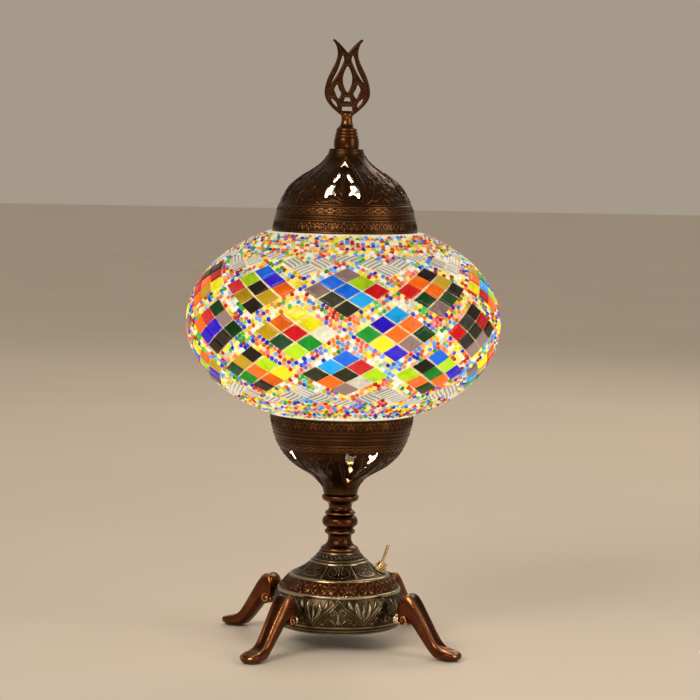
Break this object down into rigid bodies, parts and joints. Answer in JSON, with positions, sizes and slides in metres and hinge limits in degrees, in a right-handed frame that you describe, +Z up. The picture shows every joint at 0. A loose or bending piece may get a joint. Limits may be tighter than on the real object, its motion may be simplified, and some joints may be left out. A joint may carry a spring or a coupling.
{
  "type": "table lamp",
  "caption": "Table lamp with a squat mosaic glass globe between a pierced domed cap with a tulip finial and a pierced bowl, on a turned stem and a bell base with cabriole legs.",
  "frame": {"origin": "on the table, on the lamp's vertical axis", "axes": "+Z up, front towards -Y, +X to the right seen from the front"},
  "size_m": [0.2002, 0.2004, 0.385],
  "materials": {
    "antiqued_bronze": "antiqued, cast relief with dark recesses",
    "antiqued_copper": "antiqued copper, polished on the high places",
    "zinc_steel": "zinc plated",
    "brass_fittings": "turned and bright",
    "felt": "pressed wool felt",
    "black_sheet": "matt black enamel",
    "porcelain": "unglazed porcelain",
    "black_phenolic": "moulded phenolic",
    "blue_phenolic": "moulded phenolic",
    "white_nylon": "moulded nylon",
    "wire_insulation": "insulated wire",
    "black_rubber": "moulded rubber",
    "frosted_glass": "clear blown glass, backed with grout",
    "cream_grout": "cream plaster grout, lit through",
    "glass_beads": "mixed seed beads",
    "ribbed_glass": "clear ribbed glass tiles",
    "lit_bulb": "frosted, lit warm white",
    "tiles_azure": "cut stained glass, hand set",
    "tiles_cyan": "cut stained glass, hand set",
    "tiles_indigo": "cut stained glass, hand set",
    "tiles_red": "cut stained glass, hand set",
    "tiles_orange": "cut stained glass, hand set",
    "tiles_yellow": "cut stained glass, hand set",
    "tiles_lime": "cut stained glass, hand set",
    "tiles_gold": "cut stained glass, hand set",
    "tiles_green": "cut stained glass, hand set",
    "tiles_forest": "cut stained glass, hand set",
    "tiles_umber": "cut stained glass, hand set",
    "tiles_taupe": "cut stained glass, hand set",
    "tiles_clear": "cut stained glass, hand set",
    "tiles_olive": "cut stained glass, hand set"
  },
  "bodies": {
    "stand": {"lower_bowl": "antiqued_bronze", "globe_gasket": "felt", "rod_nuts": "brass_fittings", "rod_washers": "zinc_steel", "threaded_rod": "zinc_steel", "holder_base": "brass_fittings", "holder_insulator": "porcelain", "holder_sleeve": "black_phenolic", "holder_thread_shell": "brass_fittings", "holder_contact": "brass_fittings", "bulb_glass": "lit_bulb", "bulb_screw_cap": "zinc_steel", "bulb_tip": "black_phenolic", "stem_collar": "antiqued_bronze", "stem_baluster": "antiqued_bronze", "base_bell": "antiqued_bronze", "base_cover": "black_sheet", "cover_screws": "zinc_steel", "leg_front_left": "antiqued_copper", "leg_front_right": "antiqued_copper", "leg_back_right": "antiqued_copper", "leg_back_left": "antiqued_copper", "leg_screws": "zinc_steel", "foot_pads": "felt", "switch_body": "blue_phenolic", "switch_bushing": "brass_fittings", "switch_nut": "brass_fittings", "switch_washer": "zinc_steel", "terminal_block": "white_nylon", "internal_wires": "wire_insulation", "cord_grommet": "black_rubber"},
    "lever": {"switch_lever": "brass_fittings"},
    "globe": {"glass_globe": "frosted_glass", "grout_bed": "cream_grout", "rim_bands": "cream_grout", "bead_rings": "glass_beads", "ribbed_tiles": "ribbed_glass", "tiles_azure": "tiles_azure", "tiles_cyan": "tiles_cyan", "tiles_indigo": "tiles_indigo", "tiles_red": "tiles_red", "tiles_orange": "tiles_orange", "tiles_yellow": "tiles_yellow", "tiles_lime": "tiles_lime", "tiles_gold": "tiles_gold", "tiles_green": "tiles_green", "tiles_forest": "tiles_forest", "tiles_umber": "tiles_umber", "tiles_taupe": "tiles_taupe", "tiles_clear": "tiles_clear", "tiles_olive": "tiles_olive"},
    "cap": {"finial_tulip": "antiqued_copper", "finial_collar": "antiqued_bronze", "finial_stud": "zinc_steel", "finial_washer": "zinc_steel", "finial_nut": "zinc_steel", "cap_dome": "antiqued_bronze", "cap_felt_ring": "felt", "cap_inner_ring": "zinc_steel", "cap_springs": "zinc_steel"}
  },
  "joints": [
    {"name": "switch_toggle", "type": "hinge", "parent": "stand", "child": "lever", "pos_m": [0.02626, -0.00276, 0.04923], "axis": [0.1045, 0.9945, 0], "range_deg": [0, 22]},
    {"name": "globe_lift", "type": "slide", "parent": "stand", "child": "globe", "axis": [0, 0, 1], "range_m": [0, 0.1]},
    {"name": "cap_lift", "type": "slide", "parent": "globe", "child": "cap", "axis": [0, 0, 1], "range_m": [0, 0.06]}
  ]
}
